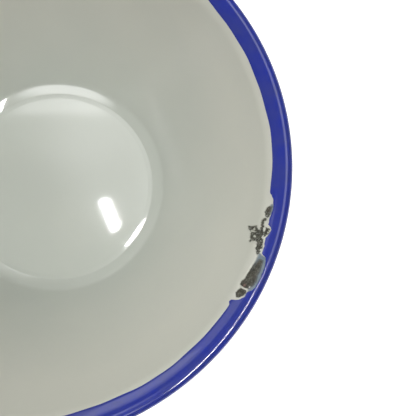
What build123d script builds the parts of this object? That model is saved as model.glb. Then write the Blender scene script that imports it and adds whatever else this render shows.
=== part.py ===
from build123d import *
from math import asin, cos, degrees, radians, sin
import os

# A round, flat-bottomed enamelled steel bowl with a rolled blue rim, in millimetres and degrees.
# +Z is up, the bowl's axis is the Z axis, and the origin is the centre of the ring it stands on.
# Every layer follows the same line, drawn at its own height over the steel's upper face.

# Overall
rim_diameter = 160.0  # over the enamelled bead
foot_outer_radius = 37.05  # of the flat ring that the bowl stands on

# Layers
steel_thickness = 0.7
ground_thickness = 0.12
white_thickness = 0.25
blue_thickness = 0.15

# Bends of the steel's upper face, from the middle outwards
crown_radius = 900.0  # the floor rises a little towards the middle
crown_turn = 1.8
shoulder_radius = 200.0  # the floor falls faster towards its edge
dish_slope = 3.8
ease_radius = 4.0  # from the crowned floor to the flat ring
toe_radius = 1.2  # from the flat ring up to the step
toe_slope = 18.5
step_radius = 30.0  # a shallow step round the ring
step_slope = 25.0
knuckle_radius = 4.7  # from the step to the wall
wall_slope = 60.3  # of the wall's chord
wall_bulge = 9.0  # how far the wall turns to each side of its chord
flare_radius = 8.8  # the wall turns outwards to the lip
lip_slope = 22.0
bead_radius = 1.5
curl_turn = 262.0  # how far the sheet rolls under, from the lip

# The blue band begins on the flare, this far from the axis
band_radius = 73.8

# Places where the enamel has chipped off: angle about the axis, distance from the axis, and the
# outline seen from above, as (outwards, anticlockwise) from that place
chips = {
    "upper_blob": (
        -10.0,
        74.1,
        [(-1.2, -1.4), (-0.9, 1.2), (0.6, 1.9), (1.3, 0.2), (0.5, -1.5)],
    ),
    "flaked_patch": (
        -15.5,
        73.3,
        [(-2.6, 0.3), (-0.8, 2.3), (0.8, 1.5), (2.5, 1.9), (2.1, -0.8), (1.2, -2.3), (-1.1, -2.2)],
    ),
    "tail": (
        -18.3,
        74.2,
        [(-1.0, 1.7), (0.6, 1.8), (1.2, -0.3), (0.4, -1.8), (-0.7, -1.2)],
    ),
    "long_oval": (
        -24.3,
        75.6,
        [(0.2, 5.9), (1.5, 4.7), (2.0, 1.0), (1.3, -4.2), (-0.6, -5.7), (-2.1, -3.9), (-2.2, 3.4)],
    ),
    "small_round": (
        -30.0,
        74.5,
        [(-1.6, 0.4), (-0.5, 1.5), (0.9, 1.4), (1.5, 0.0), (0.8, -1.5), (-0.7, -1.6)],
    ),
}
cut_depth = 1.2  # each side of the surface, enough for every coat on the curved flare

# Heights over the steel's upper face
ground_top = ground_thickness
white_top = ground_top + white_thickness
blue_top = white_top + blue_thickness
steel_under = -steel_thickness
ground_under = steel_under - ground_thickness
white_under = ground_under - white_thickness

# The line of the steel's upper face
crown_run = crown_radius * sin(radians(crown_turn))
shoulder_run = shoulder_radius * (sin(radians(dish_slope)) - sin(radians(crown_turn)))
foot_inner_radius = crown_run + shoulder_run + ease_radius * sin(radians(dish_slope))
crown_fall = crown_radius * (1 - cos(radians(crown_turn)))
shoulder_fall = shoulder_radius * (cos(radians(crown_turn)) - cos(radians(dish_slope)))
crown_rise = crown_fall + shoulder_fall + ease_radius * (1 - cos(radians(dish_slope)))
foot_level = -white_under
foot_width = foot_outer_radius - foot_inner_radius
lower_slope = wall_slope - wall_bulge
upper_slope = wall_slope + wall_bulge
bead_centre = rim_diameter / 2 - bead_radius - blue_top
lip_start = bead_centre - bead_radius * sin(radians(lip_slope))
flare_run = flare_radius * (sin(radians(upper_slope)) - sin(radians(lip_slope)))
flare_start = lip_start - flare_run
toe_run = toe_radius * sin(radians(toe_slope))
step_run = step_radius * (sin(radians(step_slope)) - sin(radians(toe_slope)))
knuckle_run = knuckle_radius * (sin(radians(lower_slope)) - sin(radians(step_slope)))
wall_start = foot_outer_radius + toe_run + step_run + knuckle_run
wall_chord = (flare_start - wall_start) / cos(radians(wall_slope))
wall_radius = wall_chord / (2 * sin(radians(wall_bulge)))
toe_rise = toe_radius * (1 - cos(radians(toe_slope)))
step_rise = step_radius * (cos(radians(toe_slope)) - cos(radians(step_slope)))
knuckle_rise = knuckle_radius * (cos(radians(step_slope)) - cos(radians(lower_slope)))
wall_level = foot_level + toe_rise + step_rise + knuckle_rise
flare_level = wall_level + wall_chord * sin(radians(wall_slope))


def flare_slope(radius):
    """Slope of the flare at a distance from the axis."""
    return degrees(asin(sin(radians(upper_slope)) - (radius - flare_start) / flare_radius))


def on_flare(slope, height):
    """Point of the flare with this slope, at a height over the steel's upper face."""
    run = flare_radius * (sin(radians(upper_slope)) - sin(radians(slope)))
    rise = flare_radius * (cos(radians(slope)) - cos(radians(upper_slope)))
    return (
        flare_start + run - height * sin(radians(slope)),
        flare_level + rise + height * cos(radians(slope)),
    )


def draw_bead(flare, height):
    """Rolls the line from the end of the flare round the hollow bead, and returns its end."""
    return JernArc(flare @ 1, flare % 1, bead_radius + height, -curl_turn) @ 1


def draw_sheet(height, rolled=True):
    """Draws the bowl's line at a height, and returns its two ends."""
    crown = JernArc((0, foot_level + crown_rise + height), (1, 0), crown_radius + height, -crown_turn)
    fall = crown_turn - dish_slope
    shoulder = JernArc(crown @ 1, crown % 1, shoulder_radius + height, fall)
    ease = JernArc(shoulder @ 1, shoulder % 1, ease_radius - height, dish_slope)
    foot = Line(ease @ 1, ease @ 1 + (foot_width, 0))
    toe = JernArc(foot @ 1, (1, 0), toe_radius - height, toe_slope)
    step = JernArc(toe @ 1, toe % 1, step_radius - height, step_slope - toe_slope)
    knuckle = JernArc(step @ 1, step % 1, knuckle_radius - height, lower_slope - step_slope)
    wall = JernArc(knuckle @ 1, knuckle % 1, wall_radius - height, 2 * wall_bulge)
    flare = JernArc(wall @ 1, wall % 1, flare_radius + height, lip_slope - upper_slope)
    if rolled:
        return crown @ 0, draw_bead(flare, height)
    return crown @ 0, flare @ 1


def draw_band(height):
    """Draws the blue band's line at a height, and returns its two ends."""
    slope = flare_slope(band_radius)
    tangent = (cos(radians(slope)), sin(radians(slope)))
    flare = JernArc(on_flare(slope, height), tangent, flare_radius + height, lip_slope - slope)
    return flare @ 0, draw_bead(flare, height)


def layer_section(draw, low, high, **options):
    """Section of the layer between two heights."""
    with BuildSketch(Plane.XZ) as section:
        with BuildLine():
            low_ends = draw(low, **options)
            high_ends = draw(high, **options)
            Line(low_ends[0], high_ends[0])
            Line(low_ends[1], high_ends[1])
        make_face()
    return section.sketch


def chip_plane(angle, radius):
    """Plane that touches the flare at a chip, with X up the flare and Y anticlockwise."""
    slope = flare_slope(radius)
    reach, level = on_flare(slope, ground_top)
    outward = Vector(1, 0, 0).rotate(Axis.Z, angle)
    return Plane(
        origin=outward * reach + Vector(0, 0, level),
        x_dir=outward * cos(radians(slope)) + Vector(0, 0, sin(radians(slope))),
        z_dir=outward * -sin(radians(slope)) + Vector(0, 0, cos(radians(slope))),
    )


def chip_outline(angle, radius, outline):
    """Face of a chip, square to the flare."""
    stretch = 1 / cos(radians(flare_slope(radius)))
    with BuildSketch(chip_plane(angle, radius)) as face:
        with BuildLine():
            Spline([(outwards * stretch, around) for outwards, around in outline], periodic=True)
        make_face()
    return face.sketch


def cut_chips():
    """Cuts every chip through the layer."""
    for chip in chips.values():
        extrude(chip_outline(*chip), amount=cut_depth, both=True, mode=Mode.SUBTRACT)


# The pressed sheet, with its hollow curled rim
with BuildPart() as steel_bowl:
    revolve(layer_section(draw_sheet, steel_under, 0), axis=Axis.Z)

# The dark ground coat on the steel's two faces
with BuildPart() as inner_ground_coat:
    revolve(layer_section(draw_sheet, 0, ground_top), axis=Axis.Z)

with BuildPart() as outer_ground_coat:
    revolve(layer_section(draw_sheet, ground_under, steel_under), axis=Axis.Z)

# The white cover coats: the inner one runs on round the bead, the outer one stops under it
with BuildPart() as inner_white_enamel:
    revolve(layer_section(draw_sheet, ground_top, white_top), axis=Axis.Z)
    cut_chips()

with BuildPart() as outer_white_enamel:
    revolve(layer_section(draw_sheet, white_under, ground_under, rolled=False), axis=Axis.Z)

# The blue band and bead, over the white
with BuildPart() as blue_rim_enamel:
    revolve(layer_section(draw_band, white_top, blue_top), axis=Axis.Z)
    cut_chips()

pieces = {
    "steel_bowl": steel_bowl,
    "inner_ground_coat": inner_ground_coat,
    "outer_ground_coat": outer_ground_coat,
    "inner_white_enamel": inner_white_enamel,
    "outer_white_enamel": outer_white_enamel,
    "blue_rim_enamel": blue_rim_enamel,
}
os.makedirs("parts", exist_ok=True)
for name, piece in pieces.items():
    piece.part.label = name
    export_step(piece.part, f"parts/{name}.step")
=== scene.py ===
import math

import bpy
import numpy as np
from mathutils import Matrix, Vector


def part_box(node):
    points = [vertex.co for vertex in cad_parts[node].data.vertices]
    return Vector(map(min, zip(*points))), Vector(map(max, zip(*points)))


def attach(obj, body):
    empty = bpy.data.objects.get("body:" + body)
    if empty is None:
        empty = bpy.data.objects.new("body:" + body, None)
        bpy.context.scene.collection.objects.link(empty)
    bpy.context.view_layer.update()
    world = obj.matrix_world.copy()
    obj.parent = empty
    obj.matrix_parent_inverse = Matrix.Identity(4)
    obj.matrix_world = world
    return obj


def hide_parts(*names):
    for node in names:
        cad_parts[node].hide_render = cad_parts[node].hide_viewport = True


# A round enamelled steel bowl. Lengths are in metres and angles in degrees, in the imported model's
# frame: +Z up, the bowl's axis on Z, standing on z = 0.
# Every layer is a solid of revolution between two heights over the steel's upper face, made here again
# from the same bends as the CAD model, finely enough for its gloss, with the worn places in its shape.

MM = 0.001

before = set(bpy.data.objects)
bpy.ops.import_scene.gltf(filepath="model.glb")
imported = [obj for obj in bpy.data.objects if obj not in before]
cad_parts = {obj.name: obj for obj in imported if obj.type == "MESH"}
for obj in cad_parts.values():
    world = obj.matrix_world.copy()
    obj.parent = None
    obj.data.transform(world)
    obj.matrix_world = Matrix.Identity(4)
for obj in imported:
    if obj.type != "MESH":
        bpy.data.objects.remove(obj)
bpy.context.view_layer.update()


# ---------------------------------------------------------------- the bowl's line

def top_of(node):
    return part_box(node)[1].z


def bottom_of(node):
    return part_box(node)[0].z


# Heights over the steel's upper face, from the layers' boxes
GROUND_TOP = top_of("inner_ground_coat") - top_of("steel_bowl")
WHITE_TOP = GROUND_TOP + top_of("inner_white_enamel") - top_of("inner_ground_coat")
BLUE_TOP = WHITE_TOP + top_of("blue_rim_enamel") - top_of("inner_white_enamel")
STEEL_UNDER = bottom_of("steel_bowl") - bottom_of("inner_ground_coat")
GROUND_UNDER = STEEL_UNDER + bottom_of("outer_ground_coat") - bottom_of("steel_bowl")
WHITE_UNDER = GROUND_UNDER + bottom_of("outer_white_enamel") - bottom_of("outer_ground_coat")
RIM_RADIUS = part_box("blue_rim_enamel")[1].x
FOOT_LEVEL = -WHITE_UNDER

# Bends of the steel's upper face, from the middle outwards
FOOT_OUTER = 37.05 * MM
CROWN_RADIUS = 900.0 * MM
CROWN_TURN = 1.8
SHOULDER_RADIUS = 200.0 * MM
DISH_SLOPE = 3.8
EASE_RADIUS = 4.0 * MM
TOE_RADIUS = 1.2 * MM
TOE_SLOPE = 18.5
STEP_RADIUS = 30.0 * MM
STEP_SLOPE = 25.0
KNUCKLE_RADIUS = 4.7 * MM
WALL_SLOPE = 60.3
WALL_BULGE = 9.0
FLARE_RADIUS = 8.8 * MM
LIP_SLOPE = 22.0
BEAD_RADIUS = 1.5 * MM
CURL_TURN = 262.0


def sin(angle):
    return math.sin(math.radians(angle))


def cos(angle):
    return math.cos(math.radians(angle))


CROWN_RISE = CROWN_RADIUS * (1 - cos(CROWN_TURN)) + EASE_RADIUS * (1 - cos(DISH_SLOPE))
CROWN_RISE += SHOULDER_RADIUS * (cos(CROWN_TURN) - cos(DISH_SLOPE))
LOWER_SLOPE = WALL_SLOPE - WALL_BULGE
UPPER_SLOPE = WALL_SLOPE + WALL_BULGE
BEAD_CENTRE = RIM_RADIUS - BEAD_RADIUS - BLUE_TOP
LIP_START = BEAD_CENTRE - BEAD_RADIUS * sin(LIP_SLOPE)
FLARE_START = LIP_START - FLARE_RADIUS * (sin(UPPER_SLOPE) - sin(LIP_SLOPE))
TOE_WIDTH = TOE_RADIUS * sin(TOE_SLOPE)
STEP_WIDTH = STEP_RADIUS * (sin(STEP_SLOPE) - sin(TOE_SLOPE))
KNUCKLE_WIDTH = KNUCKLE_RADIUS * (sin(LOWER_SLOPE) - sin(STEP_SLOPE))
WALL_START = FOOT_OUTER + TOE_WIDTH + STEP_WIDTH + KNUCKLE_WIDTH
WALL_RADIUS = (FLARE_START - WALL_START) / cos(WALL_SLOPE) / (2 * sin(WALL_BULGE))
TOE_RISE = TOE_RADIUS * (1 - cos(TOE_SLOPE))
STEP_RISE = STEP_RADIUS * (cos(TOE_SLOPE) - cos(STEP_SLOPE))
WALL_LEVEL = FOOT_LEVEL + TOE_RISE + STEP_RISE + KNUCKLE_RADIUS * (cos(STEP_SLOPE) - cos(LOWER_SLOPE))
FLARE_LEVEL = WALL_LEVEL + (FLARE_START - WALL_START) * math.tan(math.radians(WALL_SLOPE))
LIP_LEVEL = FLARE_LEVEL + FLARE_RADIUS * (cos(LIP_SLOPE) - cos(UPPER_SLOPE))
BEAD_LEVEL = LIP_LEVEL - BEAD_RADIUS * cos(LIP_SLOPE)


def bend(start, radius, slope, turn, steps):
    """Points of an arc from a point and slope; a positive turn is upwards. Each is (r, z, slope)."""
    slopes = slope + np.linspace(0, turn, steps + 1)
    radius *= math.copysign(1, turn)
    radians = np.radians(slopes)
    r = start[0] + radius * (np.sin(radians) - sin(slope))
    z = start[1] - radius * (np.cos(radians) - cos(slope))
    return np.stack([r, z, slopes], axis=1)


def line_at(radius):
    """The steel's upper face at distances from the axis, from the wall to the bead's top: z and slope."""
    on_wall = sin(LOWER_SLOPE) + (radius - WALL_START) / WALL_RADIUS
    on_flare = sin(UPPER_SLOPE) - (radius - FLARE_START) / FLARE_RADIUS
    on_bead = (BEAD_CENTRE - radius) / BEAD_RADIUS
    beyond_wall = np.where(radius < LIP_START, on_flare, on_bead)
    slope = np.arcsin(np.where(radius < FLARE_START, on_wall, beyond_wall))
    wall_z = WALL_LEVEL + WALL_RADIUS * (cos(LOWER_SLOPE) - np.cos(slope))
    flare_z = FLARE_LEVEL + FLARE_RADIUS * (np.cos(slope) - cos(UPPER_SLOPE))
    bead_z = BEAD_LEVEL + BEAD_RADIUS * np.cos(slope)
    z = np.where(radius < FLARE_START, wall_z, np.where(radius < LIP_START, flare_z, bead_z))
    return z, np.degrees(slope)


def floor_rows(crown, shoulder, ease, foot, toe, step, knuckle):
    """Rows (r, z, slope) from the axis to the foot of the wall, with so many steps on each bend."""
    point = (0.0, FOOT_LEVEL + CROWN_RISE)
    crown_part = bend(point, CROWN_RADIUS, 0.0, -CROWN_TURN, crown)
    point = crown_part[-1][:2]
    shoulder_part = bend(point, SHOULDER_RADIUS, -CROWN_TURN, CROWN_TURN - DISH_SLOPE, shoulder)
    ease_part = bend(shoulder_part[-1][:2], EASE_RADIUS, -DISH_SLOPE, DISH_SLOPE, ease)
    r = np.linspace(ease_part[-1][0], FOOT_OUTER, foot + 1)
    foot_part = np.stack([r, np.full(foot + 1, FOOT_LEVEL), np.zeros(foot + 1)], axis=1)
    toe_part = bend((FOOT_OUTER, FOOT_LEVEL), TOE_RADIUS, 0.0, TOE_SLOPE, toe)
    step_part = bend(toe_part[-1][:2], STEP_RADIUS, TOE_SLOPE, STEP_SLOPE - TOE_SLOPE, step)
    turn = LOWER_SLOPE - STEP_SLOPE
    knuckle_part = bend(step_part[-1][:2], KNUCKLE_RADIUS, STEP_SLOPE, turn, knuckle)
    parts = (shoulder_part, ease_part, foot_part, toe_part, step_part, knuckle_part)
    return np.concatenate([crown_part] + [part[1:] for part in parts])


def wall_rows(radii):
    z, slope = line_at(radii)
    return np.stack([radii, z, slope], axis=1)


def bead_rows(start_slope, steps):
    """Rows round the bead, from a slope on its top to the sheet's edge."""
    start = (BEAD_CENTRE - BEAD_RADIUS * sin(start_slope), BEAD_LEVEL + BEAD_RADIUS * cos(start_slope))
    return bend(start, BEAD_RADIUS, start_slope, LIP_SLOPE - CURL_TURN - start_slope, steps)


# ---------------------------------------------------------------- worn places

# A flat map of the rim: distance out from the datum radius, and round the rim from the datum angle,
# anticlockwise, both in millimetres
DATUM_RADIUS = 74.0 * MM
DATUM_ANGLE = -20.0
WORN_FROM = -21.0
WORN_TO = 18.5
RUST_SPOT = (0.4, -12.0)
GLINT = (1.8, -11.8)
FLAKY_FROM = -2.5  # the coats broke more raggedly from here on round the rim
RAGGED = 0.07  # how far a chip's edge strays
FLAKY_RAGGED = 0.13  # and how much further where it is flaky
ISLANDS_TO = 8.0  # specks of the coats are left on the flaky patches, up to here
ISLAND_LEVEL = 0.42
ISLAND_SIZE = 2.6

# Where both coats have flaked off down to the ground coat, as (out, round)
BARE_PATCHES = [
    [(0.1, 12.4), (0.7, 12.4), (0.5, 11.0), (0.2, 9.5), (-0.1, 8.8), (-0.6, 9.6), (-0.9, 10.6), (-0.6, 11.7)],
    [(-1.1, 8.1), (-0.3, 9.1), (-0.2, 8.4), (-0.8, 7.8)],
    [(-1.0, 8.0), (-1.3, 6.7), (-1.0, 5.3), (-0.6, 5.4), (-0.5, 6.5), (-0.7, 7.3)],
    [(-3.6, 5.8), (-2.7, 5.8), (-2.4, 4.4), (-2.7, 4.1), (-3.4, 4.8)],
    [(-2.9, 4.3), (-2.2, 4.8), (-2.1, 6.1), (-1.4, 4.9), (-0.4, 5.4), (0.2, 4.7), (0.2, 2.5), (0.2, 1.3),
     (-0.4, 0.8), (-1.0, 1.2), (-1.3, 1.9), (-1.8, 1.2), (-2.0, 2.2), (-2.4, 1.4), (-2.8, 3.0)],
    [(-0.2, 5.2), (0.3, 5.9), (1.3, 5.9), (1.4, 5.0), (0.9, 3.9), (0.4, 3.2), (-0.2, 4.0)],
    [(-0.9, 1.9), (0.0, 2.8), (0.5, 1.1), (0.8, -0.3), (0.6, -1.6), (0.1, -2.4), (-0.8, -1.0), (-1.0, 0.4)],
    [(-2.7, 1.3), (-2.4, 1.5), (-2.4, 1.0)],
    [(0.9, -3.3), (1.4, -3.1), (2.3, -3.2), (2.6, -4.9), (2.6, -8.0), (2.9, -9.7), (2.6, -11.2),
     (2.0, -12.3), (0.9, -12.6), (-0.6, -12.4), (-0.7, -11.4), (-0.2, -10.4), (-0.2, -8.9), (0.2, -5.5)],
    [(0.0, -13.3), (1.4, -13.2), (1.7, -13.8), (1.4, -14.8), (0.8, -15.9), (0.1, -16.1), (-0.6, -15.0),
     (-0.4, -14.1)],
]

# The blue's inner edge along the worn stretch, as (round, out)
BLUE_EDGE = [
    (-18.4, -0.4), (-17.5, -0.1), (-16.9, 0.8), (-16.1, 1.6), (-14.9, 2.2), (-13.5, 2.2), (-13.0, 2.4),
    (-12.3, 3.1), (-11.2, 3.4), (-9.3, 3.5), (-7.5, 3.5), (-5.5, 3.5), (-3.4, 3.2), (-2.3, 2.7),
    (-1.9, 1.8), (-1.6, 1.5), (0.7, 1.5), (1.4, 1.3), (3.0, 1.2), (4.0, 1.6), (5.7, 2.1), (6.3, 1.8),
    (7.1, 1.0), (9.2, 1.0), (10.6, 1.2), (11.8, 1.4), (14.8, 1.0), (16.2, 0.3),
]


# The blue's inner edge elsewhere strays in waves, as (how far, waves once round, phase in radians),
# and in one drip, all in millimetres
BRUSH_MIDDLE = 0.05
BRUSH_WAVES = [(0.42, 1, math.radians(15)), (0.12, 7, 1), (0.08, 17, 0), (0.05, 41, 2)]
DRIP_ANGLE = -71.5
DRIP_SPREAD = 1.2
DRIP_LENGTH = 0.45
BRUSHED_BEFORE = -19.2  # the worn stretch of the edge joins the brushed edge here
BRUSHED_AFTER = 16.8
LATTICE = 64


def lattice(seed):
    return np.random.RandomState(seed).rand(LATTICE, LATTICE)


def ripple(x, y, seed):
    """Smooth noise from -1 to 1 on a plane, with bumps about one unit across."""
    grid = lattice(seed)
    column = np.floor(x).astype(int)
    row = np.floor(y).astype(int)
    u = x - column
    v = y - row
    u = u * u * (3 - 2 * u)
    v = v * v * (3 - 2 * v)

    def corner(i, j):
        return grid[(column + i) % LATTICE, (row + j) % LATTICE]

    low = corner(0, 0) * (1 - u) + corner(1, 0) * u
    high = corner(0, 1) * (1 - u) + corner(1, 1) * u
    return 2 * (low * (1 - v) + high * v) - 1


def smooth(x):
    x = np.clip(x, 0, 1)
    return x * x * (3 - 2 * x)


def distance_to_patch(out, around, corners):
    """Distance to a closed outline, negative inside it."""
    nearest = np.full(out.shape, np.inf)
    inside = np.zeros(out.shape, bool)
    for (x0, y0), (x1, y1) in zip(corners, corners[1:] + corners[:1]):
        dx, dy = x1 - x0, y1 - y0
        along = np.clip(((out - x0) * dx + (around - y0) * dy) / (dx * dx + dy * dy), 0, 1)
        nearest = np.minimum(nearest, np.hypot(out - x0 - along * dx, around - y0 - along * dy))
        if dy:
            crosses = (around < y0) != (around < y1)
            inside ^= crosses & (out < x0 + (around - y0) * dx / dy)
    return np.where(inside, -nearest, nearest)


def bare_distance(out, around):
    """Distance to the nearest bare patch, negative inside, with ragged edges where the coat flaked."""
    distance = np.full(out.shape, np.inf)
    for corners in BARE_PATCHES:
        distance = np.minimum(distance, distance_to_patch(out, around, corners))
    flaky = smooth((around - FLAKY_FROM) / 1.5)
    ragged = RAGGED + FLAKY_RAGGED * flaky
    coarse = ripple(out * 1.3, around * 1.3, 3)
    fine = ripple(out * 3.1 + 20, around * 3.1, 4)
    islands = np.clip(ripple(out * 2.1 + 9, around * 2.1, 6) - ISLAND_LEVEL, 0, 1)
    islands = islands * smooth(ISLANDS_TO - around)
    return distance + ragged * (coarse + 0.8 * fine) + ISLAND_SIZE * flaky * islands


def round_the_rim(angle):
    """Millimetres round the rim from the datum angle, from half a turn back to half a turn on."""
    return np.radians((angle - DATUM_ANGLE + 180) % 360 - 180) * DATUM_RADIUS / MM


def blue_edge_radius(angle):
    """Distance from the axis of the blue band's inner edge, laid on by brush."""
    around = round_the_rim(angle)
    brushed = BRUSH_MIDDLE - DRIP_LENGTH * np.exp(-(((angle - DRIP_ANGLE) / DRIP_SPREAD) ** 2))
    for reach, waves, phase in BRUSH_WAVES:
        brushed = brushed + reach * np.sin(waves * np.radians(angle) + phase)
    worn = np.interp(around, *np.array(BLUE_EDGE).T)
    worn = worn + 0.07 * ripple(around * 1.7, around * 0, 5)
    near = smooth(around - BRUSHED_BEFORE) * smooth(BRUSHED_AFTER - around)
    return DATUM_RADIUS + MM * (brushed * (1 - near) + worn * near)


# ---------------------------------------------------------------- meshes

CLOSE_STEP = 0.2 * MM  # between columns in the worn stretch
WIDE_COLUMNS = 170
SHARP_FROM = 50.0  # edges that turn more than this aren't shaded smooth


def column_angles():
    """Angles of the columns, once round, closer together along the worn stretch."""
    first = DATUM_ANGLE + math.degrees(WORN_FROM * MM / DATUM_RADIUS)
    last = DATUM_ANGLE + math.degrees(WORN_TO * MM / DATUM_RADIUS)
    close = np.linspace(first, last, int((WORN_TO - WORN_FROM) * MM / CLOSE_STEP) + 1)
    wide = np.linspace(last, first + 360, WIDE_COLUMNS + 1)
    return np.concatenate([close, wide[1:-1]])


def place(rows_r, rows_z, rows_slope, height, angles):
    """Points at a height over the line; the arrays are rows by columns."""
    radians = np.radians(rows_slope)
    r = rows_r - height * np.sin(radians)
    z = rows_z + height * np.cos(radians)
    turn = np.radians(angles)
    return np.stack([r * np.cos(turn), r * np.sin(turn), z + 0 * turn], axis=-1)


def spread(rows, columns):
    """Repeats rows (r, z, slope) over the columns."""
    return [np.repeat(rows[:, k : k + 1], columns, axis=1) for k in range(3)]


def grid_faces(index, keep, upward):
    """Quads of a grid of vertex numbers that goes once round, without the cells that aren't kept."""
    ahead = np.roll(index, -1, axis=1)
    a, b, c, d = index[:-1], index[1:], ahead[1:], ahead[:-1]
    quads = np.stack([a, b, c, d] if upward else [d, c, b, a], axis=-1)
    return quads[keep].reshape(-1, 4)


def hole_walls(upper, under, keep):
    """Quads that close the edge of the cells that aren't kept, between the two sides of a layer."""
    quads = []
    rows, columns = keep.shape
    for i, j in zip(*np.nonzero(~keep)):
        k = (j + 1) % columns
        if i > 0 and keep[i - 1, j]:
            quads.append((upper[i, j], upper[i, k], under[i, k], under[i, j]))
        if i < rows - 1 and keep[i + 1, j]:
            quads.append((upper[i + 1, k], upper[i + 1, j], under[i + 1, j], under[i + 1, k]))
        if keep[i, j - 1]:
            quads.append((upper[i + 1, j], upper[i, j], under[i, j], under[i + 1, j]))
        if keep[i, k]:
            quads.append((upper[i, k], upper[i + 1, k], under[i + 1, k], under[i, k]))
    return np.array(quads, int).reshape(-1, 4)


def number_grid(points, first, to_axis):
    """Vertices and their numbers for one side of a layer; a row on the axis is a single vertex."""
    rows, columns = points.shape[:2]
    if not to_axis:
        return points.reshape(-1, 3), first + np.arange(rows * columns).reshape(rows, columns)
    index = np.empty((rows, columns), int)
    index[0] = first
    index[1:] = first + 1 + np.arange((rows - 1) * columns).reshape(rows - 1, columns)
    return np.concatenate([points[0, :1], points[1:].reshape(-1, 3)]), index


def layer_mesh(name, upper, under, keep_upper=None, keep_under=None, walls=None, to_axis=True):
    """A closed layer from its two grids of points. walls is (first upper row, first under row, count)
    of the rows where holes go through."""
    upper_points, upper_index = number_grid(upper, 0, to_axis)
    under_points, under_index = number_grid(under, len(upper_points), to_axis)
    if keep_upper is None:
        keep_upper = np.ones((len(upper) - 1, upper.shape[1]), bool)
        keep_under = np.ones((len(under) - 1, under.shape[1]), bool)
    quads = [
        grid_faces(upper_index, keep_upper, True),
        grid_faces(under_index, keep_under, False),
    ]
    rims = [(upper_index[-1], under_index[-1])]
    if not to_axis:
        rims.append((under_index[0], upper_index[0]))
    for near, far in rims:
        quads.append(np.stack([near, far, np.roll(far, -1), np.roll(near, -1)], axis=1))
    if walls:
        upper_row, under_row, count = walls
        quads.append(
            hole_walls(
                upper_index[upper_row : upper_row + count + 1],
                under_index[under_row : under_row + count + 1],
                keep_upper[upper_row : upper_row + count],
            )
        )
    points = np.concatenate([upper_points, under_points])
    faces = [tuple(dict.fromkeys(q)) for q in np.concatenate(quads).tolist()]
    mesh = bpy.data.meshes.new(name)
    mesh.from_pydata(points.tolist(), [], faces)
    mesh.validate()
    mesh.polygons.foreach_set("use_smooth", [True] * len(mesh.polygons))
    mesh.set_sharp_from_angle(angle=math.radians(SHARP_FROM))
    piece = bpy.data.objects.new(name, mesh)
    bpy.context.scene.collection.objects.link(piece)
    return piece


def set_attribute(piece, name, values):
    attribute = piece.data.attributes.new(name, "FLOAT", "POINT")
    attribute.data.foreach_set("value", values.astype(np.float32))


# ---------------------------------------------------------------- layers

WORN_INNER = 69.6 * MM  # the rows from here to the bead's top are fine enough for the chips
WORN_ROWS = 46
EDGE_SNAP = 0.11  # in the map's millimetres: vertices this close to a chip's edge are moved onto it
PROBE = 0.02  # and the step that finds which way the edge lies
CHIP_SLOPE = 0.28  # width of a chip's broken edge
FRINGE_SLOPE = 1.0  # how much wider it is on the outer side of the lower chips
FEATHER = 0.002 * MM  # keeps the white's thinnest edge off the ground coat
LEAST_SHARE = 0.04  # of the white's thickness, at its broken edge

# Steps on the floor's bends, from the crown to the knuckle, for each kind of surface
GLOSSY_FLOOR = (12, 7, 4, 2, 5, 6, 8)
OUTER_FLOOR = (10, 5, 3, 2, 4, 5, 8)
SHEET_FLOOR = (6, 3, 2, 1, 2, 3, 4)
HIDDEN_FLOOR = (4, 2, 2, 1, 2, 2, 3)
DEEPEST_FLOOR = (3, 2, 2, 1, 2, 2, 3)


def swell(x, y, seed, wavelength, count=9):
    """Smooth unevenness from about -1 to 1, as a sum of waves across a plane."""
    draw = np.random.RandomState(seed)
    total = np.zeros(np.broadcast(x, y).shape)
    for _ in range(count):
        heading, phase, stretch = draw.rand(3) * (2 * math.pi, 2 * math.pi, 0.8)
        across = x * math.cos(heading) + y * math.sin(heading)
        total += np.sin(2 * math.pi * across / (wavelength * (0.7 + stretch)) + phase)
    return total / math.sqrt(count)


def uneven(points):
    """How far the glaze on the inside departs from the bowl's line."""
    x, y, z = np.moveaxis(points, -1, 0)
    broad = swell(x + z, y - z, 11, 0.034) * 0.03 * MM
    fine = swell(x, y + z, 12, 0.013) * 0.006 * MM
    return (broad + fine) * smooth((73 * MM - np.hypot(x, y)) / (4 * MM))


def rows_to_grid(rows, angles):
    r, z, slope = spread(rows, len(angles))
    return r, z, slope, np.repeat(angles[None, :], len(rows), axis=0)


def worn_grid(angles):
    """Radii and angles of the rows over the chips, with vertices moved onto the chips' edges."""
    radii = np.linspace(WORN_INNER, BEAD_CENTRE, WORN_ROWS + 1)
    radius, angle = np.meshgrid(radii, angles, indexing="ij")
    out, around, distance = chip_map(radius, angle)
    step = PROBE
    slope_out = (bare_distance(out + step, around) - bare_distance(out - step, around)) / (2 * step)
    slope_around = (bare_distance(out, around + step) - bare_distance(out, around - step)) / (2 * step)
    steepness = np.maximum(slope_out**2 + slope_around**2, 0.25)
    inside = np.arange(WORN_ROWS + 1)[:, None] % WORN_ROWS > 0
    near = (np.abs(distance) < EDGE_SNAP) & inside
    shift = np.where(near, distance / steepness, 0)
    radius = radius - shift * slope_out * MM
    angle = angle - np.degrees(shift * slope_around * MM / DATUM_RADIUS)
    return radius, angle


def chip_map(radius, angle):
    """Map position of points of the white's face, and their distance to the bare patches."""
    slope = np.radians(line_at(radius)[1])
    out = (radius - WHITE_TOP * np.sin(slope) - DATUM_RADIUS) / MM
    around = round_the_rim(angle)
    return out, around, bare_distance(out, around)


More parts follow.
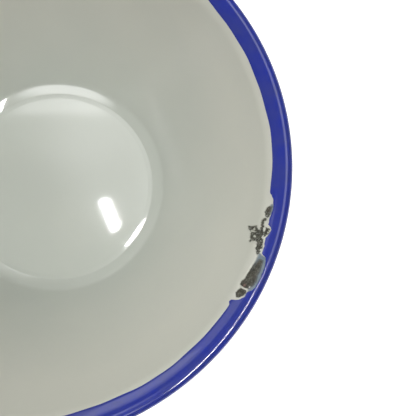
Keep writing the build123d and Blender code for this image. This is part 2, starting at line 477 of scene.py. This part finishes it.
def joined_grid(angles, floor_steps, wall_steps, worn, bead_steps):
    """A whole side of an inner layer: r, z, slope and angle, with the worn rows in the middle."""
    wall_radii = np.linspace(WALL_START, WORN_INNER, wall_steps + 1)[1:-1]
    inner = np.concatenate([floor_rows(*floor_steps), wall_rows(wall_radii)])
    outer = bead_rows(0.0, bead_steps)[1:]
    worn_radius, worn_angle = worn
    worn_z, worn_slope = line_at(worn_radius)
    middle = (worn_radius, worn_z, worn_slope, worn_angle)
    parts = [rows_to_grid(inner, angles), middle, rows_to_grid(outer, angles)]
    return [np.concatenate(arrays) for arrays in zip(*parts)], len(inner)


def fringe_zone(out, around):
    """1 where the coats broke at a low angle: the outer side of the lower chips, and the top chip's end."""
    lean = 0.25 * np.clip(-9 - around, -2, 4)
    lower = smooth((out - 0.5 - lean) / 0.9) * smooth((-1.4 - around) / 0.7)
    top = smooth((around - 9.5) / 1.5) * smooth(out / 0.5)
    return np.maximum(lower, 0.8 * top)


def make_white_inside():
    angles = column_angles()
    worn = worn_grid(angles)
    upper, upper_row = joined_grid(angles, GLOSSY_FLOOR, 37, worn, 14)
    under, under_row = joined_grid(angles, HIDDEN_FLOOR, 8, worn, 8)
    out, around, distance = chip_map(*worn)
    zone = fringe_zone(out, around)
    kept_share = smooth(np.clip(distance / (CHIP_SLOPE + FRINGE_SLOPE * zone), 0, 1) ** 0.8)
    rows = slice(upper_row, upper_row + WORN_ROWS + 1)
    share = np.ones(upper[0].shape)
    share[rows] = kept_share
    flat = place(upper[0], upper[1], upper[2], WHITE_TOP, upper[3])
    thickness = WHITE_TOP - GROUND_TOP + uneven(flat)
    height = GROUND_TOP + FEATHER + thickness * (LEAST_SHARE + (1 - LEAST_SHARE) * share)
    corners = (distance[:-1, :], distance[1:, :])
    middle = sum(c + np.roll(c, -1, axis=1) for c in corners) / 4
    kept = middle > 0
    keep_upper = np.ones((len(upper[0]) - 1, len(angles)), bool)
    keep_under = np.ones((len(under[0]) - 1, len(angles)), bool)
    keep_upper[upper_row : upper_row + WORN_ROWS] = kept
    keep_under[under_row : under_row + WORN_ROWS] = kept
    piece = layer_mesh(
        "white_inside",
        place(*upper[:3], height, upper[3]),
        place(*under[:3], GROUND_TOP, under[3]),
        keep_upper,
        keep_under,
        (upper_row, under_row, WORN_ROWS),
    )
    broken = np.zeros(share.shape)
    fringe = np.zeros(share.shape)
    broken[rows] = 1 - kept_share
    fringe[rows] = smooth((1 - kept_share) / 0.25) * zone
    under_count = len(piece.data.vertices) - (1 + (len(share) - 1) * len(angles))
    for name, values in (("broken", broken), ("fringe", fringe)):
        side = np.concatenate([values[0, :1], values[1:].ravel(), np.zeros(under_count)])
        set_attribute(piece, name, side)
    return piece


def make_blue_rim():
    angles = column_angles()
    edge = blue_edge_radius(angles)
    share = np.linspace(0, 1, 27)[:, None] ** 1.35
    radius = edge[None, :] + share * (BEAD_CENTRE - edge[None, :])
    z, slope = line_at(radius)
    top = (radius, z, slope, np.repeat(angles[None, :], len(share), axis=0))
    around = round_the_rim(angles)
    chipped = smooth(around + 19) * smooth(16 - around)

    def side(height_share, bead_steps):
        rolled = rows_to_grid(bead_rows(0.0, bead_steps)[1:], angles)
        grid = [np.concatenate(pair) for pair in zip(top, rolled)]
        flat = place(*grid[:3], WHITE_TOP, grid[3])
        from_edge = (grid[0] - edge[None, :]) / MM
        from_edge[len(share) :] = np.inf
        thin = 0.25 + 0.45 * chipped[None, :]
        full = thin + (1 - thin) * smooth(np.sqrt(np.clip(from_edge / 0.5, 0, 1)))
        height = WHITE_TOP + uneven(flat) + height_share * full * (BLUE_TOP - WHITE_TOP)
        return place(*grid[:3], height, grid[3])

    return layer_mesh("blue_rim", side(1.0, 46), side(0.0, 24), to_axis=False)


def make_ground_inside():
    angles = column_angles()
    radii = np.linspace(WORN_INNER, BEAD_CENTRE, WORN_ROWS + 1)
    worn = tuple(np.meshgrid(radii, angles, indexing="ij"))
    upper, upper_row = joined_grid(angles, HIDDEN_FLOOR, 8, worn, 12)
    coarse = tuple(np.meshgrid(np.linspace(WORN_INNER, BEAD_CENTRE, 13), angles, indexing="ij"))
    under, _ = joined_grid(angles, DEEPEST_FLOOR, 6, coarse, 10)
    out, around, distance = chip_map(*worn)
    rough = ripple(out * 2.3, around * 2.3, 7) + 0.7 * ripple(out * 4.7, around * 4.7, 8)
    depth = np.zeros(upper[0].shape)
    pits = smooth(-distance / 0.3) * (0.03 * rough - 0.035)
    depth[upper_row : upper_row + WORN_ROWS + 1] = pits * MM
    piece = layer_mesh(
        "ground_inside",
        place(*upper[:3], GROUND_TOP + depth, upper[3]),
        place(*under[:3], 0.0, under[3]),
    )
    from_rust = np.hypot((out - RUST_SPOT[0]) / 0.7, around - RUST_SPOT[1])
    from_glint = np.hypot((out - GLINT[0]) / 0.7, around - GLINT[1])
    marks = {
        "flaky": smooth(around - FLAKY_FROM),
        "edge": smooth((distance + 0.7) / 0.7) * fringe_zone(out, around),
        "rust": 0.8 * smooth(1.3 - from_rust / 0.5),
        "glint": smooth(1.3 - from_glint / 0.28),
    }
    for name, worn_values in marks.items():
        values = np.zeros(upper[0].shape)
        values[upper_row : upper_row + WORN_ROWS + 1] = worn_values
        top_side = np.concatenate([values[0, :1], values[1:].ravel()])
        set_attribute(piece, name, np.pad(top_side, (0, len(piece.data.vertices) - len(top_side))))
    return piece


def turned_layer(name, upper_rows, under_rows, upper_height, under_height, columns, waves=0.0):
    """A plain layer. waves is the unevenness of its outer face, nothing where the bowl stands."""
    angles = np.linspace(0, 360, columns + 1)[:-1]
    upper = rows_to_grid(upper_rows, angles)
    under = rows_to_grid(under_rows, angles)
    flat = place(*under[:3], under_height, under[3])
    x, y, z = np.moveaxis(flat, -1, 0)
    lift = waves * swell(x + z, y - z, 21, 0.03) * smooth(under[2] / LOWER_SLOPE)
    return layer_mesh(
        name,
        place(*upper[:3], upper_height, upper[3]),
        place(*under[:3], under_height + lift, under[3]),
    )


def whole_rows(floor_steps, wall_steps, flare_steps, bead_steps=0):
    """Rows of the whole line, to the lip, or on round the bead."""
    wall = wall_rows(np.linspace(WALL_START, FLARE_START, wall_steps + 1)[1:])
    turn = LIP_SLOPE - UPPER_SLOPE
    flare = bend((FLARE_START, FLARE_LEVEL), FLARE_RADIUS, UPPER_SLOPE, turn, flare_steps)[1:]
    parts = [floor_rows(*floor_steps), wall, flare]
    if bead_steps:
        parts.append(bead_rows(LIP_SLOPE, bead_steps)[1:])
    return np.concatenate(parts)


def make_steel():
    rows = whole_rows(SHEET_FLOOR, 12, 12, 24)
    return turned_layer("steel", rows, rows, 0.0, STEEL_UNDER, 200)


def make_ground_outside():
    rows = whole_rows(SHEET_FLOOR, 12, 12, 24)
    return turned_layer("ground_outside", rows, rows, STEEL_UNDER, GROUND_UNDER, 200)


def make_white_outside():
    fine = whole_rows(OUTER_FLOOR, 60, 26)
    coarse = whole_rows(SHEET_FLOOR, 12, 12)
    return turned_layer("white_outside", coarse, fine, GROUND_UNDER, WHITE_UNDER, 300, 0.03 * MM)


# ---------------------------------------------------------------- materials

GLAZE_IOR = 1.5


class Nodes:
    """A material's node tree, with short ways to add and join nodes."""

    def __init__(self, name):
        self.material = bpy.data.materials.new(name)
        self.material.use_nodes = True
        self.tree = self.material.node_tree
        self.shader = self.tree.nodes["Principled BSDF"]
        self.place = self.add("ShaderNodeTexCoord").outputs["Object"]

    def add(self, kind, **settings):
        node = self.tree.nodes.new(kind)
        for key, value in settings.items():
            setattr(node, key, value)
        return node

    def join(self, source, target):
        self.tree.links.new(source, target)

    def noise(self, scale, detail, roughness=0.5, distortion=0.0):
        node = self.add("ShaderNodeTexNoise")
        self.join(self.place, node.inputs["Vector"])
        node.inputs["Scale"].default_value = scale
        node.inputs["Detail"].default_value = detail
        node.inputs["Roughness"].default_value = roughness
        node.inputs["Distortion"].default_value = distortion
        return node.outputs["Fac"]

    def ramp(self, source, *stops):
        """Colour ramp; each stop is (position, colour or grey)."""
        node = self.add("ShaderNodeValToRGB")
        elements = node.color_ramp.elements
        while len(elements) < len(stops):
            elements.new(0.5)
        for element, (position, colour) in zip(elements, stops):
            element.position = position
            rgb = (colour,) * 3 if isinstance(colour, (int, float)) else colour
            element.color = (*rgb, 1)
        self.join(source, node.inputs["Fac"])
        return node.outputs["Color"]

    def mix(self, share, first, second):
        """Mixes two colours; each may be a socket or a colour, and the share a socket or a number."""
        node = self.add("ShaderNodeMix", data_type="RGBA")
        for key, value in (("Factor_Float", share), ("A_Color", first), ("B_Color", second)):
            socket = next(i for i in node.inputs if i.identifier == key)
            if isinstance(value, bpy.types.NodeSocket):
                self.join(value, socket)
            elif isinstance(value, tuple):
                socket.default_value = (*value, 1)
            else:
                socket.default_value = value
        return next(o for o in node.outputs if o.identifier == "Result_Color")

    def combine(self, kind, first, second):
        """Adds, multiplies or compares two values; each may be a socket or a number."""
        node = self.add("ShaderNodeMath", operation=kind)
        for socket, value in zip(node.inputs, (first, second)):
            if isinstance(value, bpy.types.NodeSocket):
                self.join(value, socket)
            else:
                socket.default_value = value
        return node.outputs[0]

    def attribute(self, name):
        return self.add("ShaderNodeAttribute", attribute_name=name).outputs["Fac"]

    def bump(self, source, distance, strength):
        node = self.add("ShaderNodeBump")
        node.inputs["Distance"].default_value = distance
        node.inputs["Strength"].default_value = strength
        self.join(source, node.inputs["Height"])
        return node.outputs["Normal"]

    def finish(self, colour, roughness, normal, metallic=0.0):
        self.join(colour, self.shader.inputs["Base Color"])
        if isinstance(roughness, bpy.types.NodeSocket):
            self.join(roughness, self.shader.inputs["Roughness"])
        else:
            self.shader.inputs["Roughness"].default_value = roughness
        self.join(normal, self.shader.inputs["Normal"])
        self.shader.inputs["IOR"].default_value = GLAZE_IOR
        self.shader.inputs["Metallic"].default_value = metallic
        return self.material


# Painted shade: the white glaze is a darker, greener tone low on the bowl, inside and out, and a paler,
# warmer one up at the rim
WHITE_LIT_RIM = (0.635, 0.635, 0.56)
WHITE_SHADED_LOW = (0.505, 0.531, 0.478)
BLUE = (0.028, 0.042, 0.33)
BLUE_GREY = (0.042, 0.055, 0.27)
GROUND_DARK = (0.020, 0.020, 0.014)
GROUND_MIDDLE = (0.055, 0.053, 0.038)
GROUND_PALE = (0.15, 0.15, 0.12)
FLECK = (0.36, 0.37, 0.33)
THIN_GLAZE = (0.13, 0.155, 0.165)
RUST_BROWN = (0.085, 0.060, 0.042)
RUST_PINK = (0.22, 0.12, 0.10)
GLINT_PALE = (0.7, 0.7, 0.66)
PINHOLE = (0.12, 0.11, 0.09)
BROKEN_EDGE = (0.17, 0.17, 0.13)
FRINGE_DARK = (0.12, 0.17, 0.22)
FRINGE_PALE = (0.24, 0.29, 0.31)
STEEL_DARK = (0.20, 0.17, 0.14)
STEEL_PALE = (0.36, 0.33, 0.30)
BROKEN_ROUGHNESS = 0.35


def specks(nodes, scale, size, share):
    """1 in a few small round pinholes and 0 elsewhere."""
    cells = nodes.add("ShaderNodeTexVoronoi")
    nodes.join(nodes.place, cells.inputs["Vector"])
    cells.inputs["Scale"].default_value = scale
    dot = nodes.combine("LESS_THAN", cells.outputs["Distance"], size * scale)
    chosen = nodes.add("ShaderNodeSeparateColor")
    nodes.join(cells.outputs["Color"], chosen.inputs["Color"])
    return nodes.combine("MULTIPLY", dot, nodes.combine("LESS_THAN", chosen.outputs["Red"], share))


def white_enamel(name, chips):
    nodes = Nodes(name)
    height = nodes.add("ShaderNodeSeparateXYZ")
    nodes.join(nodes.place, height.inputs["Vector"])
    # Painted shade: the white is mixed by height, darker towards the bottom and paler towards the rim, with
    # some noise
    rise = nodes.combine("DIVIDE", height.outputs["Z"], BEAD_LEVEL)
    patchy = nodes.combine("ADD", rise, nodes.combine("MULTIPLY", nodes.noise(scale=28, detail=3), 0.5))
    colour = nodes.mix(nodes.ramp(patchy, (0.30, 0.0), (1.15, 1.0)), WHITE_SHADED_LOW, WHITE_LIT_RIM)
    colour = nodes.mix(specks(nodes, scale=70, size=0.00013, share=0.2), colour, PINHOLE)
    roughness = nodes.ramp(nodes.noise(scale=60, detail=4), (0.3, 0.045), (0.7, 0.065))
    if chips:
        broken = nodes.attribute("broken")
        fringe = nodes.attribute("fringe")
        flaky = nodes.combine("MULTIPLY", nodes.noise(scale=1400, detail=4), 0.2)
        edge_tint = nodes.ramp(nodes.combine("ADD", broken, flaky), (0.12, 0.0), (0.75, 0.45), (1.0, 1.0))
        colour = nodes.mix(edge_tint, colour, BROKEN_EDGE)
        tint = nodes.mix(nodes.noise(scale=900, detail=3), FRINGE_DARK, FRINGE_PALE)
        colour = nodes.mix(fringe, colour, tint)
        dull = nodes.ramp(broken, (0.02, 0.0), (0.3, 1.0))
        roughness = nodes.mix(dull, roughness, (BROKEN_ROUGHNESS,) * 3)
    peel = nodes.bump(nodes.noise(scale=300, detail=2), distance=0.00003, strength=0.35)
    return nodes.finish(colour, roughness, peel)


def blue_enamel():
    nodes = Nodes("blue_enamel")
    streaks = nodes.ramp(nodes.noise(scale=160, detail=5, roughness=0.6), (0.3, 0.0), (0.7, 1.0))
    colour = nodes.mix(streaks, BLUE, BLUE_GREY)
    roughness = nodes.ramp(nodes.noise(scale=90, detail=4), (0.3, 0.05), (0.7, 0.09))
    peel = nodes.bump(nodes.noise(scale=420, detail=3), distance=0.00004, strength=0.4)
    return nodes.finish(colour, roughness, peel)


def ground_coat():
    nodes = Nodes("ground_coat")
    coarse = nodes.noise(scale=1100, detail=6, roughness=0.7)
    blotches = nodes.ramp(coarse, (0.36, GROUND_DARK), (0.50, GROUND_MIDDLE), (0.68, GROUND_PALE))
    flaky = nodes.attribute("flaky")
    flecks = nodes.ramp(nodes.noise(scale=1900, detail=3), (0.58, 0.0), (0.66, 0.9))
    colour = nodes.mix(nodes.combine("MULTIPLY", flecks, flaky), blotches, FLECK)
    stains = nodes.noise(scale=330, detail=5, roughness=0.6, distortion=0.6)
    colour = nodes.mix(nodes.ramp(stains, (0.54, 0.0), (0.68, 0.6)), colour, RUST_BROWN)
    patchy = nodes.ramp(nodes.noise(scale=1300, detail=3), (0.3, 0.5), (0.7, 1.0))
    edge = nodes.combine("MULTIPLY", nodes.attribute("edge"), patchy)
    colour = nodes.mix(edge, colour, THIN_GLAZE)
    colour = nodes.mix(nodes.attribute("rust"), colour, RUST_PINK)
    colour = nodes.mix(nodes.attribute("glint"), colour, GLINT_PALE)
    rough = nodes.noise(scale=1500, detail=6, roughness=0.7)
    normal = nodes.bump(rough, distance=0.00012, strength=0.9)
    roughness = nodes.ramp(nodes.noise(scale=500, detail=4), (0.3, 0.45), (0.7, 0.75))
    return nodes.finish(colour, roughness, normal)


def bare_steel():
    nodes = Nodes("steel")
    colour = nodes.ramp(nodes.noise(scale=200, detail=5), (0.3, STEEL_DARK), (0.7, STEEL_PALE))
    normal = nodes.bump(nodes.noise(scale=900, detail=5), distance=0.00003, strength=0.5)
    return nodes.finish(colour, 0.5, normal, metallic=0.8)


# ---------------------------------------------------------------- pieces

def put(piece, node, material):
    piece.data.materials.append(material)
    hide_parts(node)
    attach(piece, "root")


ground = ground_coat()
put(make_steel(), "steel_bowl", bare_steel())
put(make_ground_inside(), "inner_ground_coat", ground)
put(make_ground_outside(), "outer_ground_coat", ground)
white_in = white_enamel("white_enamel_inside", chips=True)
put(make_white_inside(), "inner_white_enamel", white_in)
white_out = white_enamel("white_enamel_outside", chips=False)
put(make_white_outside(), "outer_white_enamel", white_out)
put(make_blue_rim(), "blue_rim_enamel", blue_enamel())


# ---------------------------------------------------------------- studio

FLOOR_HALF = 3.0
FLOOR_DROP = 0.2 * MM
FLOOR_GREY = 0.85
FLOOR_ROUGHNESS = 0.9
FLOOR_GLOW = 0.75
ROOM_GLOW = 0.10
AIM = Vector((0, 0, 0.03))  # the lights face the middle of the bowl

BACK_LIGHT = {"centre": (-0.40, 1.10, 0.40), "size": (1.2, 0.7), "radiance": 1.1}
BACK_LEFT_LIGHT = {"centre": (-0.80, 0.70, 0.50), "size": (0.8, 0.7), "radiance": 1.2}
LAMP = {"centre": (-0.032, 0.026, 1.02), "size": (0.024, 0.085), "radiance": 110.0, "spin": -22.0}
STRIP = {"start": (0.065, -0.08, 1.0), "end": (0.18, -0.48, 1.0), "width": 0.035, "radiance": 100.0}

CAMERA_PLACE = (0.0409, -0.0261, 0.1517)  # the height is over the bead
CAMERA_TILT = 4.62
CAMERA_ROLL = -5.09
CAMERA_LENS = 45.0
CAMERA_FILM = 36.0
CAMERA_NEAREST = 0.005

# A card over the bowl, with broad soft patches of light on it: centre, half widths, radiance
CARD_HEIGHT = 1.06
CARD_LOW = (-0.8, -0.8)
CARD_HIGH = (0.5, 1.0)
PATCH_CORE = 0.55  # how far in from its edge a patch comes to its full radiance
CARD_PATCHES = [
    ((0.06, 0.32), (0.38, 0.56), 2.2),
    ((-0.14, 0.40), (0.34, 0.26), 1.2),
    ((-0.22, 0.49), (0.34, 0.14), 3.8),
    ((0.32, 0.10), (0.30, 0.40), 1.4),
    ((-0.28, -0.54), (0.46, 0.36), 7.6),
]


def flat_card(name, low, high, height):
    """A level rectangle between two corners, with a material of its own."""
    mesh = bpy.data.meshes.new(name)
    corners = [(low[0], low[1], 0), (low[0], high[1], 0), (high[0], high[1], 0), (high[0], low[1], 0)]
    mesh.from_pydata(corners, [], [(0, 1, 2, 3)])
    card = bpy.data.objects.new(name, mesh)
    card.location = (0, 0, height)
    bpy.context.scene.collection.objects.link(card)
    nodes = Nodes(name)
    nodes.shader.inputs["Emission Color"].default_value = (1, 1, 1, 1)
    mesh.materials.append(nodes.material)
    return nodes


def stage_floor():
    nodes = flat_card("floor", (-FLOOR_HALF, -FLOOR_HALF), (FLOOR_HALF, FLOOR_HALF), -FLOOR_DROP)
    nodes.shader.inputs["Base Color"].default_value = (FLOOR_GREY, FLOOR_GREY, FLOOR_GREY, 1)
    nodes.shader.inputs["Roughness"].default_value = FLOOR_ROUGHNESS
    nodes.shader.inputs["Emission Strength"].default_value = FLOOR_GLOW


def soft_patch(nodes, centre, half_widths):
    """1 over the middle of an ellipse, falling smoothly to 0 at its edge."""
    moved = nodes.add("ShaderNodeMapping", vector_type="TEXTURE")
    moved.inputs["Location"].default_value = (*centre, 0)
    moved.inputs["Scale"].default_value = (*half_widths, 1)
    nodes.join(nodes.place, moved.inputs["Vector"])
    falloff = nodes.add("ShaderNodeTexGradient", gradient_type="SPHERICAL")
    nodes.join(moved.outputs["Vector"], falloff.inputs["Vector"])
    eased = nodes.add("ShaderNodeMapRange", interpolation_type="SMOOTHSTEP")
    eased.inputs["From Max"].default_value = PATCH_CORE
    nodes.join(falloff.outputs["Fac"], eased.inputs["Value"])
    return eased.outputs["Result"]


def ceiling_card():
    """A card over the bowl that glows unevenly, like a lit ceiling, with the rest of the room dark."""
    nodes = flat_card("ceiling", CARD_LOW, CARD_HIGH, CARD_HEIGHT)
    total = None
    for centre, half_widths, radiance in CARD_PATCHES:
        glow = nodes.combine("MULTIPLY", soft_patch(nodes, centre, half_widths), radiance)
        total = glow if total is None else nodes.combine("ADD", total, glow)
    nodes.shader.inputs["Base Color"].default_value = (0, 0, 0, 1)
    nodes.join(total, nodes.shader.inputs["Emission Strength"])


def area_light(name, width, length, radiance):
    light = bpy.data.lights.new(name, "AREA")
    light.shape = "RECTANGLE"
    light.size = width
    light.size_y = length
    light.energy = radiance * math.pi * width * length
    lamp = bpy.data.objects.new(name, light)
    bpy.context.scene.collection.objects.link(lamp)
    return lamp


def softbox(name, centre, size, radiance, spin=0.0):
    """A rectangular light of this radiance, facing the bowl."""
    lamp = area_light(name, *size, radiance)
    aim = (AIM - Vector(centre)).to_track_quat("-Z", "Y").to_matrix().to_4x4()
    lamp.matrix_world = Matrix.Translation(centre) @ aim @ Matrix.Rotation(math.radians(spin), 4, "Z")


def strip_light(name, start, end, width, radiance):
    """A long narrow light between two points, facing the bowl."""
    start, end = Vector(start), Vector(end)
    centre = (start + end) / 2
    lamp = area_light(name, width, (end - start).length, radiance)
    along = (end - start).normalized()
    across = along.cross((centre - AIM).normalized()).normalized()
    turn = Matrix((across, along, across.cross(along))).transposed().to_4x4()
    lamp.matrix_world = Matrix.Translation(centre) @ turn
    lamp.visible_diffuse = False  # only its reflections are wanted


def light_scene():
    world = bpy.data.worlds.new("studio")
    bpy.context.scene.world = world
    world.use_nodes = True
    background = world.node_tree.nodes["Background"]
    background.inputs["Color"].default_value = (1, 1, 1, 1)
    background.inputs["Strength"].default_value = ROOM_GLOW
    ceiling_card()
    softbox("back", **BACK_LIGHT)
    softbox("back_left", **BACK_LEFT_LIGHT)
    strip_light("side_strip", **STRIP)
    softbox("lamp", **LAMP)


def point_camera():
    camera = bpy.data.objects.new("camera", bpy.data.cameras.new("camera"))
    camera.data.lens = CAMERA_LENS
    camera.data.sensor_width = CAMERA_FILM
    camera.data.clip_start = CAMERA_NEAREST
    centre = Vector(CAMERA_PLACE) + Vector((0, 0, BEAD_LEVEL))
    tilt = Matrix.Rotation(math.radians(CAMERA_TILT), 4, "X")
    roll = Matrix.Rotation(math.radians(CAMERA_ROLL), 4, "Y")
    camera.matrix_world = Matrix.Translation(centre) @ tilt @ roll
    bpy.context.scene.collection.objects.link(camera)
    bpy.context.scene.camera = camera


stage_floor()
light_scene()
point_camera()
bpy.context.scene.view_settings.view_transform = "Standard"
